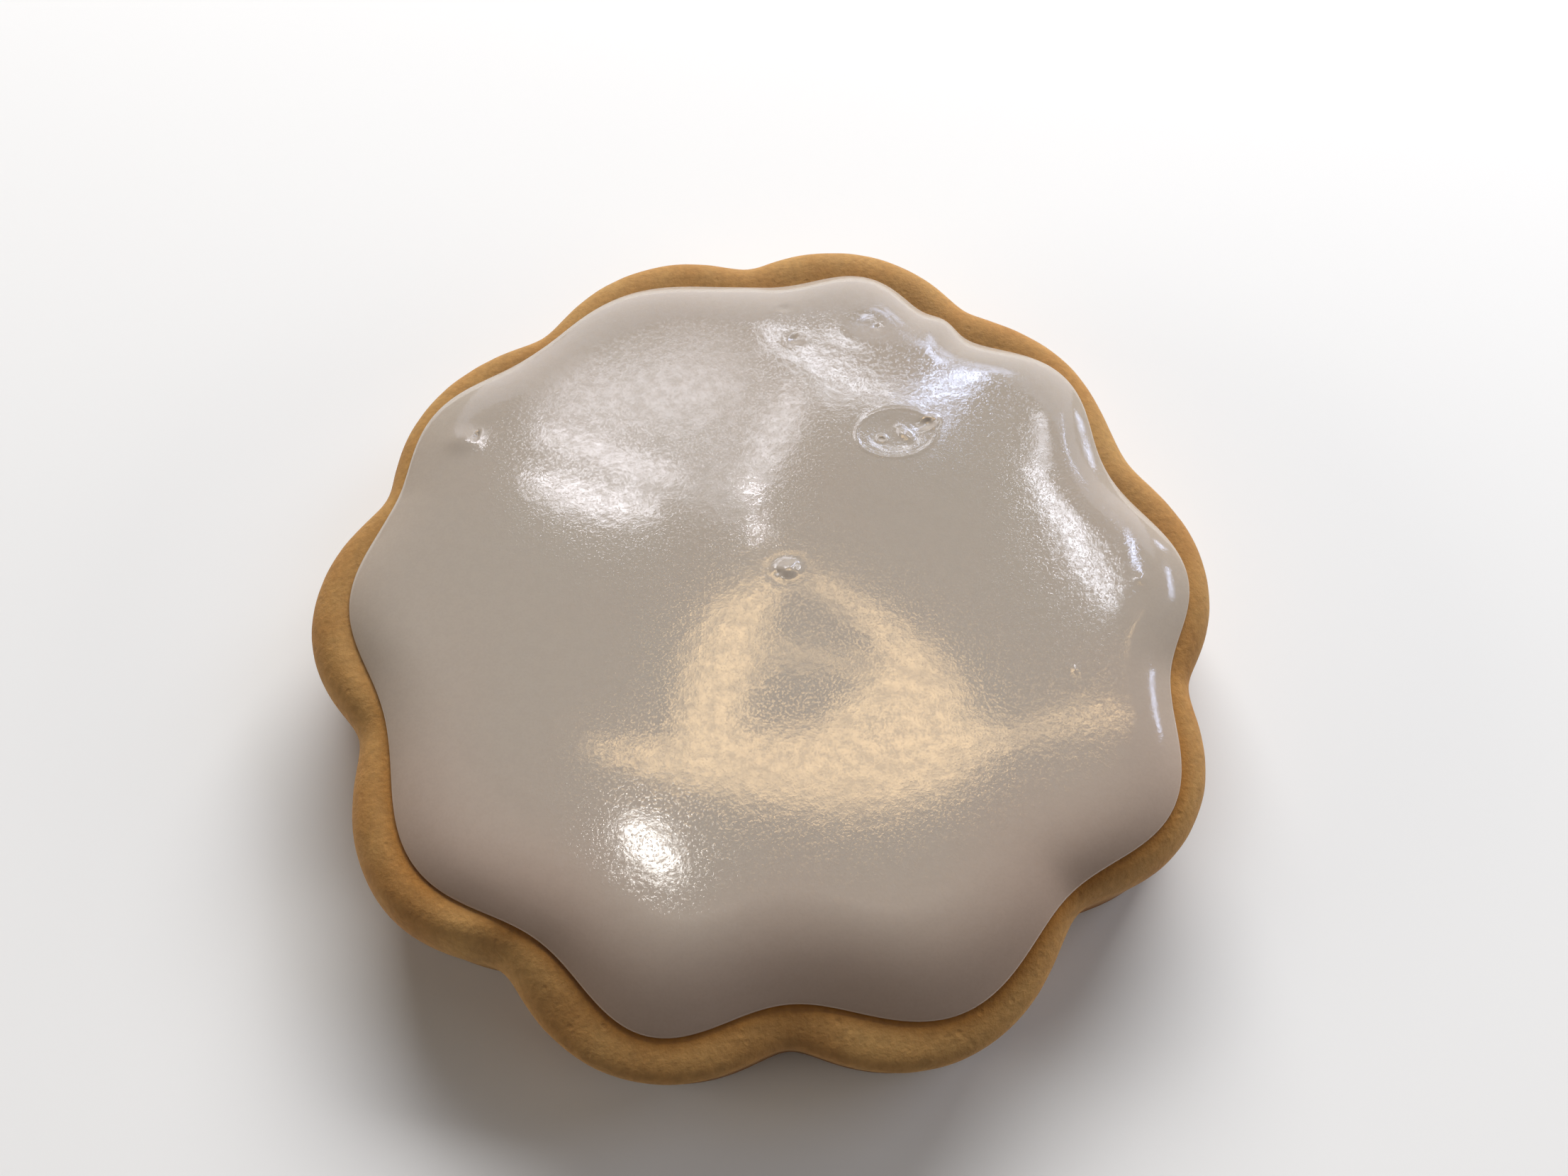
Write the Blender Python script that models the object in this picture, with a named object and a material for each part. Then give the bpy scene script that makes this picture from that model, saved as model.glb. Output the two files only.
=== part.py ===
"""An iced sugar cookie: a thick ten-petalled biscuit under a domed layer of poured icing.

The frame is the cookie's own. +Z is up, the origin is on the underside, below the middle of the
outline, and lengths are in metres. The outline is worked out in polar form, as a radius for each
bearing, so the biscuit and its icing are rings of that radius at named insets and heights.
"""

import math

import bmesh
import bpy

MM = 0.001

# Biscuit, from the underside up.
RIM_HEIGHT = 9.5 * MM  # the crest of the rim
FIELD_HEIGHT = 9.0 * MM  # the flatter middle, which the icing covers
FOOT_RADIUS = 0.8 * MM  # rounding of the bottom edge
WALL_TOP = 6.8 * MM  # where the wall starts to round over
CREST_INSET = 2.8 * MM  # from the wall in to the crest of the rim
FIELD_INSET = 6.0 * MM  # from the wall in to the field
LEVEL_INSET = 11.5 * MM  # from the wall in to where the front no longer falls away
FRONT_DROP = 1.4 * MM  # how much lower the baked rim lies at the front, towards -Y
FRONT_START = 24.5 * MM  # distance in front of the middle at which it starts to fall away
FRONT_SPAN = 9.0 * MM  # distance over which it falls
FOOT_STEPS = 3
SHOULDER_STEPS = 6
SLOPE_STEPS = 3

# Icing, from the biscuit up.
ICING_RISE = 2.0 * MM  # field to the shoulder of the icing
ICING_DOME = 0.2 * MM  # further rise from that shoulder to the middle
ROLL_OFF = 6.0 * MM  # width of the band that slopes down to the edge, ever more steeply
FRONT_ROLL_OFF = 7.3 * MM  # the same, where the rim has dropped in full
EASE = 3.0  # how quickly that band eases off inwards
FRONT_EASE = 1.7  # the same, where the rim has dropped in full
EDGE_HEIGHT = 0.2 * MM  # height of the widest point of the edge above the foot
EDGE_ROUND = 0.3 * MM  # rounding of the edge above that point
EDGE_TUCK = 0.2 * MM  # how far the foot stands in under that point
REST_GAP = 0.3 * MM  # clearance between the icing and what it lies on
EDGE_STEPS = 2
ROLL_STEPS = 5
DOME_STEPS = 4
UNDERSIDE_SHARES = (1.6, 1.0, 0.6, 0.3, 0.15)  # of the field inset, from the middle outwards

RING_POINTS = 148  # a multiple of four, so that a point lies on each axis

# Each petal is a round lobe: bearing from +X in degrees, reach of its tip, and radius of its arc.
PETALS = (
    (1, 35.4 * MM, 12.2 * MM),
    (41, 34.9 * MM, 14.2 * MM),
    (74, 36.5 * MM, 12.9 * MM),
    (108, 35.8 * MM, 13.0 * MM),
    (146, 35.2 * MM, 13.5 * MM),
    (181, 36.3 * MM, 11.6 * MM),
    (219, 36.1 * MM, 12.0 * MM),
    (253, 36.1 * MM, 12.0 * MM),
    (290, 36.2 * MM, 12.3 * MM),
    (328, 36.0 * MM, 10.9 * MM),
)
PETAL_CORE = 32.5 * MM  # radius of the round middle that the petals stand on
NOTCH_SOFTNESS = 0.8 * MM  # rounding of the notches between petals

# The icing's outline swells towards each petal: bearing, swell and half width in degrees.
ICING_BASE = 28.4 * MM
ICING_SWELLS = (
    (-1, 4.4 * MM, 13.6),
    (36, 3.8 * MM, 13.4),
    (57, 0.8 * MM, 3.5),
    (72, 3.6 * MM, 12),
    (90, 0.6 * MM, 23),
    (113, 3.3 * MM, 18),
    (149, 4.2 * MM, 14.5),
    (180, 4.1 * MM, 15.5),
    (220, 4.0 * MM, 16.5),
    (255, 4.7 * MM, 13),
    (292, 5.2 * MM, 16.5),
    (327, 5.3 * MM, 15),
)

# Burst bubbles in the icing: place, half width along X and Y, and depth of the hollow.
BUBBLE_PITS = {
    "middle": (1.5 * MM, -0.5 * MM, 1.3 * MM, 1.2 * MM, 0.6 * MM),
    "collapsed_blister": (11.0 * MM, 12.7 * MM, 3.2 * MM, 2.4 * MM, 0.3 * MM),
    "blister_east": (13.6 * MM, 13.5 * MM, 0.9 * MM, 0.7 * MM, 0.5 * MM),
    "north_east": (10.0 * MM, 24.2 * MM, 1.6 * MM, 1.1 * MM, 0.6 * MM),
    "north": (3.1 * MM, 22.7 * MM, 0.9 * MM, 0.7 * MM, 0.3 * MM),
    "west": (-23.6 * MM, 13.6 * MM, 0.8 * MM, 0.7 * MM, 0.4 * MM),
}
PIT_PROUD = 0.03 * MM  # how far the middle of the ball that cuts a hollow stands above the skin
PIT_SEGMENTS = 16
PIT_RINGS = 10

BISCUIT_COLOUR = "#C79A5F"
BISCUIT_ROUGHNESS = 0.85
ICING_COLOUR = "#C6BCB0"
ICING_ROUGHNESS = 0.3

BEARINGS = [2 * math.pi * i / RING_POINTS for i in range(RING_POINTS)]


def biscuit_radius(bearing):
    """The biscuit's outline at the upper wall: a soft maximum over the petals and the core."""
    reaches = [PETAL_CORE]
    for petal_bearing, reach, radius in PETALS:
        turn = bearing - math.radians(petal_bearing)
        centre = reach - radius
        across = centre * math.sin(turn)
        if math.cos(turn) > 0 and abs(across) < radius:
            reaches.append(centre * math.cos(turn) + math.sqrt(radius**2 - across**2))
    longest = max(reaches)
    total = sum(math.exp((reach - longest) / NOTCH_SOFTNESS) for reach in reaches)
    return longest + NOTCH_SOFTNESS * math.log(total)


def icing_radius(bearing):
    """The icing's outline, at the widest point of its edge: a circle with its swells."""
    radius = ICING_BASE
    for swell_bearing, swell, half_width in ICING_SWELLS:
        turn = math.remainder(bearing - math.radians(swell_bearing), 2 * math.pi)
        radius += swell * math.exp(-((turn / math.radians(half_width)) ** 2))
    return radius


def middle_of_outline():
    """The middle of the box around the biscuit's outline, which is set over the origin."""
    xs = [biscuit_radius(bearing) * math.cos(bearing) for bearing in BEARINGS]
    ys = [biscuit_radius(bearing) * math.sin(bearing) for bearing in BEARINGS]
    return (min(xs) + max(xs)) / 2, (min(ys) + max(ys)) / 2


CENTRE_X, CENTRE_Y = middle_of_outline()


def smooth_step(t):
    """0 to 1 with level ends."""
    t = min(1.0, max(0.0, t))
    return t * t * (3 - 2 * t)


def front_share(bearing, radius):
    """How far the rim has dropped at a place, from 0 behind the front to 1 at its very edge."""
    return smooth_step((-radius * math.sin(bearing) - FRONT_START) / FRONT_SPAN)


def biscuit_top(bearing, radius):
    """Height of the biscuit's upper side: shoulder, rim, then field, and lower at the front."""
    inset = biscuit_radius(bearing) - radius
    across = 1 - min(1.0, max(0.0, inset) / CREST_INSET)
    rise = (RIM_HEIGHT - WALL_TOP) * math.sqrt(1 - across**2)
    rise -= (RIM_HEIGHT - FIELD_HEIGHT) * smooth_step(
        (inset - CREST_INSET) / (FIELD_INSET - CREST_INSET)
    )
    fallen = front_share(bearing, radius) * FRONT_DROP / (RIM_HEIGHT - WALL_TOP)
    return WALL_TOP + rise * (1 - fallen)


def icing_underside(bearing, radius):
    """Height of the icing's underside, which follows the biscuit."""
    return biscuit_top(bearing, radius) + REST_GAP


def sloping_radius(bearing, share):
    """Radius of a ring on the icing's sloping band, at a share of the way in across it."""
    return icing_radius(bearing) - EDGE_ROUND - (roll_off(bearing) - EDGE_ROUND) * share


def roll_off(bearing):
    """Width of the icing's sloping band, which is wider at the dropped front."""
    front = front_share(bearing, icing_radius(bearing))
    return ROLL_OFF + (FRONT_ROLL_OFF - ROLL_OFF) * front


def icing_top(bearing, radius):
    """Height of the icing's upper side: a rounded edge, a band that eases off, and a low dome."""
    edge = icing_radius(bearing)
    inset = edge - radius
    foot = icing_underside(bearing, edge) + EDGE_HEIGHT
    rounding = 1 - min(1.0, inset / EDGE_ROUND)
    lip = foot + EDGE_ROUND * math.sqrt(1 - rounding**2)
    slope = 1 - min(1.0, max(0.0, inset - EDGE_ROUND) / (roll_off(bearing) - EDGE_ROUND))
    ease = EASE + (FRONT_EASE - EASE) * front_share(bearing, edge)
    shoulder = FIELD_HEIGHT + ICING_RISE
    dome = ICING_DOME * max(0.0, 1 - (radius / ICING_BASE) ** 2)
    return lip + (shoulder - foot - EDGE_ROUND) * (1 - slope**ease) + dome


def grow(rings):
    """A closed solid from a round face, which is laid to the first ring and extruded to the rest.

    A ring is a pair of functions: the radius at a bearing, and the height at a bearing and radius.
    Returns the mesh and its last face.
    """
    mesh = bmesh.new()
    bmesh.ops.create_circle(mesh, cap_ends=True, segments=RING_POINTS, radius=ICING_BASE)
    end_face = mesh.faces[:][0]
    for number, (radius_of, height_of) in enumerate(rings):
        if number > 0:
            start_face = end_face
            grown = bmesh.ops.extrude_face_region(mesh, geom=[start_face])["geom"]
            end_face = next(item for item in grown if isinstance(item, bmesh.types.BMFace))
            if number > 1:
                bmesh.ops.delete(mesh, geom=[start_face], context="FACES_ONLY")
        for vertex in end_face.verts:
            bearing = math.atan2(vertex.co.y, vertex.co.x)
            radius = radius_of(bearing)
            height = height_of(bearing, radius)
            vertex.co = (radius * math.cos(bearing), radius * math.sin(bearing), height)
    return mesh, end_face


def build_biscuit():
    """The baked biscuit: rounded foot, upright wall, round shoulder, low rim and a flat field."""
    rings = []
    for step in range(FOOT_STEPS + 1):
        turn = math.pi / 2 * step / FOOT_STEPS
        inset, height = FOOT_RADIUS * (1 - math.sin(turn)), FOOT_RADIUS * (1 - math.cos(turn))
        rings.append((lambda b, i=inset: biscuit_radius(b) - i, lambda b, r, h=height: h))
    insets = [
        CREST_INSET * (1 - math.cos(math.pi / 2 * step / SHOULDER_STEPS))
        for step in range(SHOULDER_STEPS + 1)
    ]
    insets += [
        CREST_INSET + (FIELD_INSET - CREST_INSET) * step / SLOPE_STEPS
        for step in range(1, SLOPE_STEPS + 1)
    ]
    for inset in insets + [LEVEL_INSET]:
        rings.append((lambda b, i=inset: biscuit_radius(b) - i, biscuit_top))
    mesh, _ = grow(rings)
    material = finish("baked_biscuit", BISCUIT_COLOUR, BISCUIT_ROUGHNESS)
    return as_object("biscuit", mesh, material)


def build_icing():
    """The icing: an underside that follows the biscuit, a tucked foot and a domed top."""
    rings = []
    for share in UNDERSIDE_SHARES:
        inset = FIELD_INSET * share
        rings.append((lambda b, i=inset: icing_radius(b) - i, icing_underside))
    rings.append((lambda b: icing_radius(b) - EDGE_TUCK, icing_underside))
    for step in range(EDGE_STEPS + 1):
        inset = EDGE_ROUND * (1 - math.cos(math.pi / 2 * step / EDGE_STEPS))
        rings.append((lambda b, i=inset: icing_radius(b) - i, icing_top))
    for step in range(1, ROLL_STEPS + 1):
        share = step / ROLL_STEPS
        rings.append((lambda b, s=share: sloping_radius(b, s), icing_top))
    for step in range(1, DOME_STEPS):
        share = 1 - step / DOME_STEPS
        rings.append((lambda b, s=share: (icing_radius(b) - roll_off(b)) * s, icing_top))
    mesh, last_face = grow(rings)
    crown = bmesh.ops.poke(mesh, faces=[last_face])["verts"][0]
    crown.co = (0.0, 0.0, icing_top(0.0, 0.0))
    icing = as_object("icing", mesh, finish("poured_icing", ICING_COLOUR, ICING_ROUGHNESS))
    for name, pit in BUBBLE_PITS.items():
        cut_pit(icing, name, *pit)
    return icing


def cut_pit(icing, name, x, y, half_x, half_y, depth):
    """Cuts the hollow that a burst bubble leaves: a flattened ball, sunk almost to its middle."""
    surface = icing_top(math.atan2(y, x), math.hypot(x, y)) + PIT_PROUD
    mesh = bmesh.new()
    bmesh.ops.create_uvsphere(mesh, u_segments=PIT_SEGMENTS, v_segments=PIT_RINGS, radius=1.0)
    bmesh.ops.scale(mesh, vec=(half_x, half_y, depth), verts=mesh.verts)
    bmesh.ops.translate(mesh, vec=(x, y, surface), verts=mesh.verts)
    cutter = as_object(f"cutter_{name}", mesh, None)
    cutter.hide_render = True
    cutter.display_type = "WIRE"
    modifier = icing.modifiers.new(f"pit_{name}", "BOOLEAN")
    modifier.operation = "DIFFERENCE"
    modifier.solver = "EXACT"
    modifier.object = cutter


def linear(channel):
    """One sRGB channel, 0 to 1, as linear light."""
    return channel / 12.92 if channel <= 0.04045 else ((channel + 0.055) / 1.055) ** 2.4


def finish(name, colour, roughness):
    """A plain Principled material from an sRGB hex colour."""
    material = bpy.data.materials.new(name)
    material.use_nodes = True
    shader = material.node_tree.nodes["Principled BSDF"]
    channels = [linear(int(colour[i : i + 2], 16) / 255) for i in (1, 3, 5)]
    shader.inputs["Base Color"].default_value = (*channels, 1.0)
    shader.inputs["Roughness"].default_value = roughness
    shader.inputs["Metallic"].default_value = 0.0
    return material


def as_object(name, mesh, material):
    """Moves the mesh from the outline's frame to the cookie's, and puts it in the scene.

    Small faces are smooth, and the wide end faces stay flat.
    """
    bmesh.ops.translate(mesh, vec=(-CENTRE_X, -CENTRE_Y, 0.0), verts=mesh.verts)
    bmesh.ops.recalc_face_normals(mesh, faces=mesh.faces)
    for face in mesh.faces:
        face.smooth = len(face.verts) < RING_POINTS
    data = bpy.data.meshes.new(name)
    mesh.to_mesh(data)
    mesh.free()
    made = bpy.data.objects.new(name, data)
    bpy.context.scene.collection.objects.link(made)
    if material is not None:
        data.materials.append(material)
    return made


def main():
    """Clears the scene and builds the biscuit and its icing."""
    for old in list(bpy.data.objects):
        bpy.data.objects.remove(old)
    build_biscuit()
    build_icing()


main()
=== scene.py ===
"""An iced sugar cookie: a thick ten-petalled biscuit under a domed layer of poured icing.

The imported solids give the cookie's box and bodies. Both nodes are replaced by finer pieces of the
same outline and heights: the biscuit with its crumb and browning, and the icing with the slow
waves, burst bubbles and sugary grain that pouring and drying leave. Sizes are in metres, unless
a comment says millimetres.
"""

import logging
import math
from collections.abc import Callable
from dataclasses import dataclass, field
from enum import Enum

import bmesh
import bpy
import numpy as np
from bmesh.types import BMesh
from bpy.types import Material, Node, NodeSocket, NodeTree, Object
from mathutils import Matrix, Vector, noise
from numpy import ndarray as Array


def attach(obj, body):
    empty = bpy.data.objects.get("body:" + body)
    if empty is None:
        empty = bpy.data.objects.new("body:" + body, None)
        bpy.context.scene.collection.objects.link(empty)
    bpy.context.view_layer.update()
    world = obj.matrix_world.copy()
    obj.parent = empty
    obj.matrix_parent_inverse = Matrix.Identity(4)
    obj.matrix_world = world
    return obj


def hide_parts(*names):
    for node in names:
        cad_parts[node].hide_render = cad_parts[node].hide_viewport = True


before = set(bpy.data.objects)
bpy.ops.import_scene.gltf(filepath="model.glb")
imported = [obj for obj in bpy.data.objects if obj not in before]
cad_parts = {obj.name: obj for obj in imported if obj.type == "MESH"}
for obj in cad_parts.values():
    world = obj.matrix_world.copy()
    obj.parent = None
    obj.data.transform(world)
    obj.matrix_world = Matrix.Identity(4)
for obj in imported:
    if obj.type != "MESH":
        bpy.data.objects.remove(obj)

MM = 0.001
LOG = logging.getLogger("cookie")


def linear(hex_colour: str) -> tuple[float, float, float, float]:
    """Turns an sRGB hex colour into linear light.

    Args:
        hex_colour: A colour such as "#C79A5F".

    Returns:
        Red, green, blue and alpha, 0 to 1.
    """
    channels = [int(hex_colour[i : i + 2], 16) / 255 for i in (1, 3, 5)]
    light = [c / 12.92 if c <= 0.04045 else ((c + 0.055) / 1.055) ** 2.4 for c in channels]
    return light[0], light[1], light[2], 1.0


def node(tree: NodeTree, kind: str, links: dict | None = None, **settings: object) -> Node:
    """Adds a node with its settings, socket values and links.

    Args:
        tree: The node tree that gets the node.
        kind: The shader node's type, such as "Mix".
        links: Input socket name or index to a value, or to the output socket that feeds it.
        settings: The node's own properties.

    Returns:
        The new node.
    """
    made = tree.nodes.new("ShaderNode" + kind)
    for name, value in settings.items():
        setattr(made, name, value)
    for name, value in (links or {}).items():
        if isinstance(value, NodeSocket):
            tree.links.new(value, made.inputs[name])
        else:
            made.inputs[name].default_value = value
    return made


def fresh_material(name: str, sockets: dict[str, object]) -> tuple[Material, NodeTree, Node]:
    """Makes a material of one shader and sets what is the same all over the surface.

    Args:
        name: The material's name.
        sockets: Values for the shader's own sockets.

    Returns:
        The material, its node tree and its shader.
    """
    material = bpy.data.materials.new(name)
    material.use_nodes = True
    shader = material.node_tree.nodes["Principled BSDF"]
    for socket, value in sockets.items():
        shader.inputs[socket].default_value = value
    return material, material.node_tree, shader


def smooth_step(t: Array) -> Array:
    """0 to 1 with level ends."""
    t = np.clip(t, 0.0, 1.0)
    return t * t * (3 - 2 * t)


def polar(x: Array, y: Array) -> tuple[Array, Array]:
    """Bearings in radians from +X, and distances from the middle."""
    return np.arctan2(y, x), np.hypot(x, y)


# ---- outlines


@dataclass(frozen=True)
class Petal:
    """A round petal: bearing from +X in degrees, and its tip's reach and arc radius in mm."""

    bearing: float
    reach: float
    radius: float


@dataclass(frozen=True)
class PetalOutline:
    """The biscuit's outline at its upper wall: a soft maximum over petals and a round core."""

    petals: tuple[Petal, ...] = (
        Petal(1, 35.4, 12.2),
        Petal(41, 34.9, 14.2),
        Petal(74, 36.5, 12.9),
        Petal(108, 35.8, 13.0),
        Petal(146, 35.2, 13.5),
        Petal(181, 36.3, 11.6),
        Petal(219, 36.1, 12.0),
        Petal(253, 36.1, 12.0),
        Petal(290, 36.2, 12.3),
        Petal(328, 36.0, 10.9),
    )
    core: float = 32.5 * MM
    softness: float = 0.8 * MM

    def radius(self, bearing: Array) -> Array:
        """Distance from the middle to the outline.

        Args:
            bearing: Bearings in radians.

        Returns:
            The radius at each bearing.
        """
        reaches = [np.full_like(bearing, self.core)]
        for petal in self.petals:
            turn = bearing - math.radians(petal.bearing)
            centre, arc = (petal.reach - petal.radius) * MM, petal.radius * MM
            across = centre * np.sin(turn)
            half = np.sqrt(np.maximum(arc**2 - across**2, 0.0))
            met = (np.cos(turn) > 0) & (np.abs(across) < arc)
            reaches.append(np.where(met, centre * np.cos(turn) + half, 0.0))
        longest = np.max(reaches, axis=0)
        total = np.sum(np.exp((np.array(reaches) - longest) / self.softness), axis=0)
        return longest + self.softness * np.log(total)

    def middle(self) -> tuple[float, float]:
        """Finds the middle of the box around the outline, which is set over the origin.

        Returns:
            Its place along X and Y.
        """
        bearing = np.linspace(0, 2 * math.pi, 148, endpoint=False)
        radius = self.radius(bearing)
        x, y = radius * np.cos(bearing), radius * np.sin(bearing)
        return float(x.min() + x.max()) / 2, float(y.min() + y.max()) / 2


@dataclass(frozen=True)
class Swell:
    """A swell of the icing's edge: bearing in degrees, rise in mm, half width in degrees."""

    bearing: float
    rise: float
    half_width: float


@dataclass(frozen=True)
class SwellOutline:
    """The icing's outline at the widest point of its edge: a circle with swells."""

    swells: tuple[Swell, ...] = (
        Swell(-1, 4.4, 13.6),
        Swell(36, 3.8, 13.4),
        Swell(57, 0.8, 3.5),
        Swell(72, 3.6, 12),
        Swell(90, 0.6, 23),
        Swell(113, 3.3, 18),
        Swell(149, 4.2, 14.5),
        Swell(180, 4.1, 15.5),
        Swell(220, 4.0, 16.5),
        Swell(255, 4.7, 13),
        Swell(292, 5.2, 16.5),
        Swell(327, 5.3, 15),
    )
    base: float = 28.4 * MM

    def radius(self, bearing: Array) -> Array:
        """Distance from the middle to the outline.

        Args:
            bearing: Bearings in radians.

        Returns:
            The radius at each bearing.
        """
        radius = np.full_like(bearing, self.base)
        for swell in self.swells:
            turn = bearing - math.radians(swell.bearing)
            turn = np.arctan2(np.sin(turn), np.cos(turn))
            radius += swell.rise * MM * np.exp(-((turn / math.radians(swell.half_width)) ** 2))
        return radius


# ---- finishes


class Pattern(Enum):
    """Real sizes of the surface patterns, in metres."""

    OVEN_PATCH = 7.0 * MM  # slow changes of browning
    CRUMB = 0.55 * MM  # lumps of dough
    FINE_CRUMB = 0.22 * MM  # grains of flour and sugar in them
    PORE = 1.6 * MM  # spacing of open pores
    SLOW_TINT = 14.0 * MM  # slow changes of the icing's tint
    SKIN_STREAK = 0.9 * MM  # drying creases, drawn two or three times too coarse so that they show
    SKIN_RIPPLE = 0.42 * MM  # finer creases across them
    SUGAR_GRAIN = 0.18 * MM  # crystals at the skin, drawn a little too coarse so that they show

    @property
    def scale(self) -> float:
        """The noise scale that gives this size on Object coordinates."""
        return 1.0 / self.value


@dataclass(frozen=True)
class BakedDough:
    """Sugar-biscuit dough, rolled and baked: dry and matt, golden on top and browner at the sides.

    A fine crumb and a few open pores break the light, and the browning changes slowly over it.
    """

    name: str = "baked_sugar_dough"
    golden: str = "#AF8852"
    tan: str = "#A47843"
    brown: str = "#7A522C"
    # darker orange beside the icing: partly soaking, partly painted contact shade and shadow of the
    # icing
    soaked_and_shaded: str = "#966428"
    pale: str = "#C9A064"
    roughness: float = 0.78
    ior: float = 1.45
    glow_through: float = 0.12  # share of the light that spreads inside
    glow_depth: float = 0.6 * MM
    patch_range: tuple[float, float] = (0.35, 0.65)  # shares of the patterns that are used
    crumb_range: tuple[float, float] = (0.3, 0.7)
    pore_range: tuple[float, float] = (0.05, 0.16)
    speck: tuple[float, float] = (0.86, 1.12)  # how much the crumb darkens or lightens
    relief: tuple[tuple[float, float], ...] = (  # strength and height: crumb, grains, pores
        (0.7, 0.09 * MM),
        (0.6, 0.035 * MM),
        (0.5, 0.06 * MM),
    )

    def material(self) -> Material:
        """Builds the material: colour from patches, crumb and browning, and a crumb relief.

        Returns:
            The material.
        """
        material, tree, shader = fresh_material(
            self.name,
            {
                "Roughness": self.roughness,
                "IOR": self.ior,
                "Subsurface Weight": self.glow_through,
                "Subsurface Radius": (1.0, 0.5, 0.25),
                "Subsurface Scale": self.glow_depth,
            },
        )
        place = node(tree, "TexCoord").outputs["Object"]
        patch, crumb, fine = (
            node(
                tree,
                "TexNoise",
                {"Vector": place, "Scale": size.scale, "Detail": detail, "Roughness": rough},
            ).outputs["Fac"]
            for size, detail, rough in (
                (Pattern.OVEN_PATCH, 3.0, 0.5),
                (Pattern.CRUMB, 3.0, 0.6),
                (Pattern.FINE_CRUMB, 2.0, 0.5),
            )
        )
        pores = node(tree, "TexVoronoi", {"Vector": place, "Scale": Pattern.PORE.scale})
        whole = (0.0, 1.0)
        patchy, speck, pit = (
            node(
                tree,
                "MapRange",
                {"Value": value, "From Min": a, "From Max": b, "To Min": c, "To Max": d},
            ).outputs["Result"]
            for value, (a, b), (c, d) in (
                (patch, self.patch_range, whole),
                (crumb, self.crumb_range, self.speck),
                (pores.outputs["Distance"], self.pore_range, whole),
            )
        )
        # the second painted share is soaking and painted shade beside the icing
        painted = (
            node(tree, "Attribute", attribute_name=name).outputs["Fac"]
            for name in ("browned", "soaked_and_shaded", "pale")
        )
        colour: object = linear(self.golden)
        tones = (self.tan, self.brown, self.soaked_and_shaded, self.pale)
        for share, tone in zip((patchy, *painted), tones):
            links = {"Factor": share, "A": colour, "B": linear(tone)}
            colour = node(tree, "Mix", links, data_type="RGBA").outputs["Result"]
        speckled = node(tree, "VectorMath", {0: colour, 1: speck}, operation="MULTIPLY")
        tree.links.new(speckled.outputs["Vector"], shader.inputs["Base Color"])
        links = {}
        for height, (strength, distance) in zip((crumb, fine, pit), self.relief):
            links |= {"Height": height, "Strength": strength, "Distance": distance}
            links["Normal"] = node(tree, "Bump", links).outputs["Normal"]
        tree.links.new(links["Normal"], shader.inputs["Normal"])
        return material


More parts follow.
